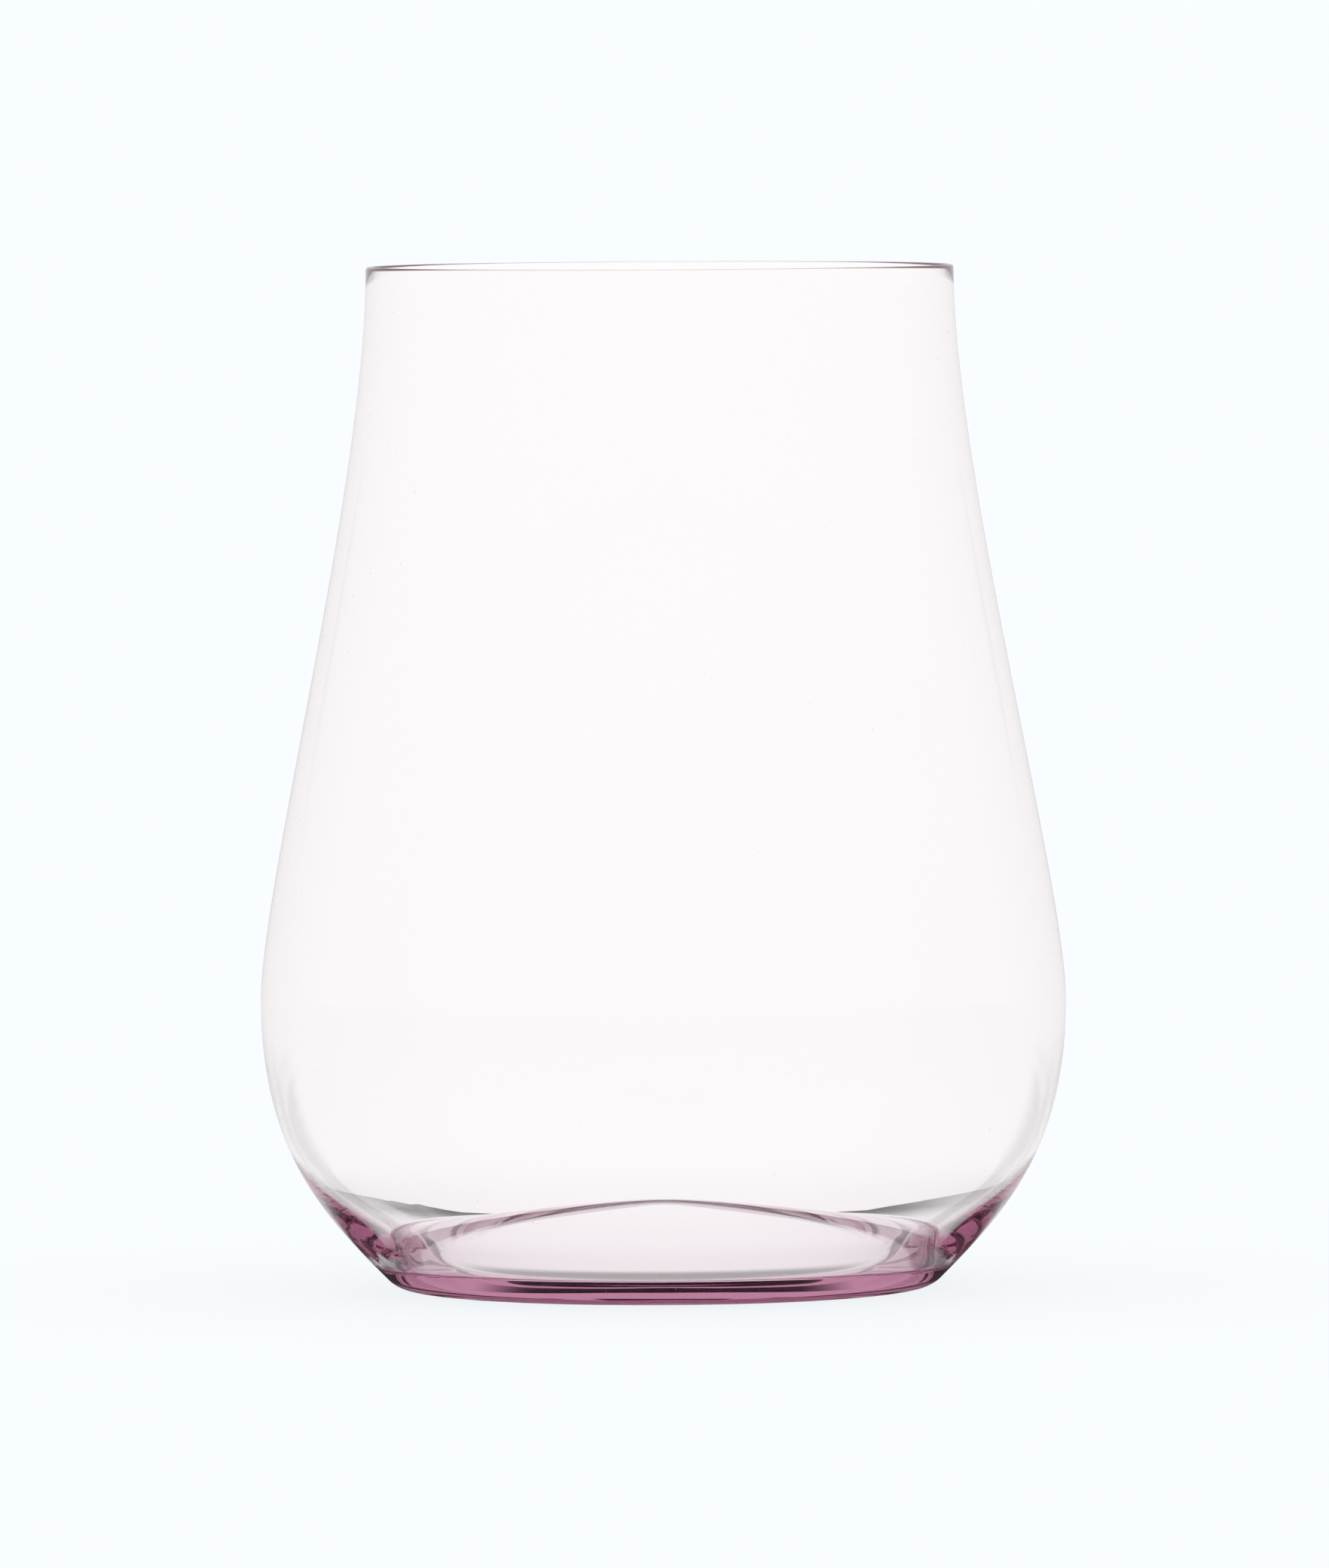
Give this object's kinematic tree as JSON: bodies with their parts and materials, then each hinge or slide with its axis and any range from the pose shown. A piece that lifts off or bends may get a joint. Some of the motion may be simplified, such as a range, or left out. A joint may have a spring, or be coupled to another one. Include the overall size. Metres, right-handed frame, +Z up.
{
  "type": "stemless water glass",
  "caption": "Stemless tear-drop tumbler of thin pale pink glass, with a low round belly, a drawn-in neck, a thick heel and a pushed-up floor on a flat standing ring.",
  "frame": {"origin": "on the table, under the centre of the standing ring", "axes": "+Z up along the axis of the glass; the glass is the same from every side, and -Y faces the picture's viewer"},
  "size_m": [0.093, 0.093, 0.118],
  "materials": {
    "pink_glass": "clear, fire-polished, pale pink-lilac through and through"
  },
  "bodies": {
    "root": {"tumbler": "pink_glass"}
  },
  "joints": []
}
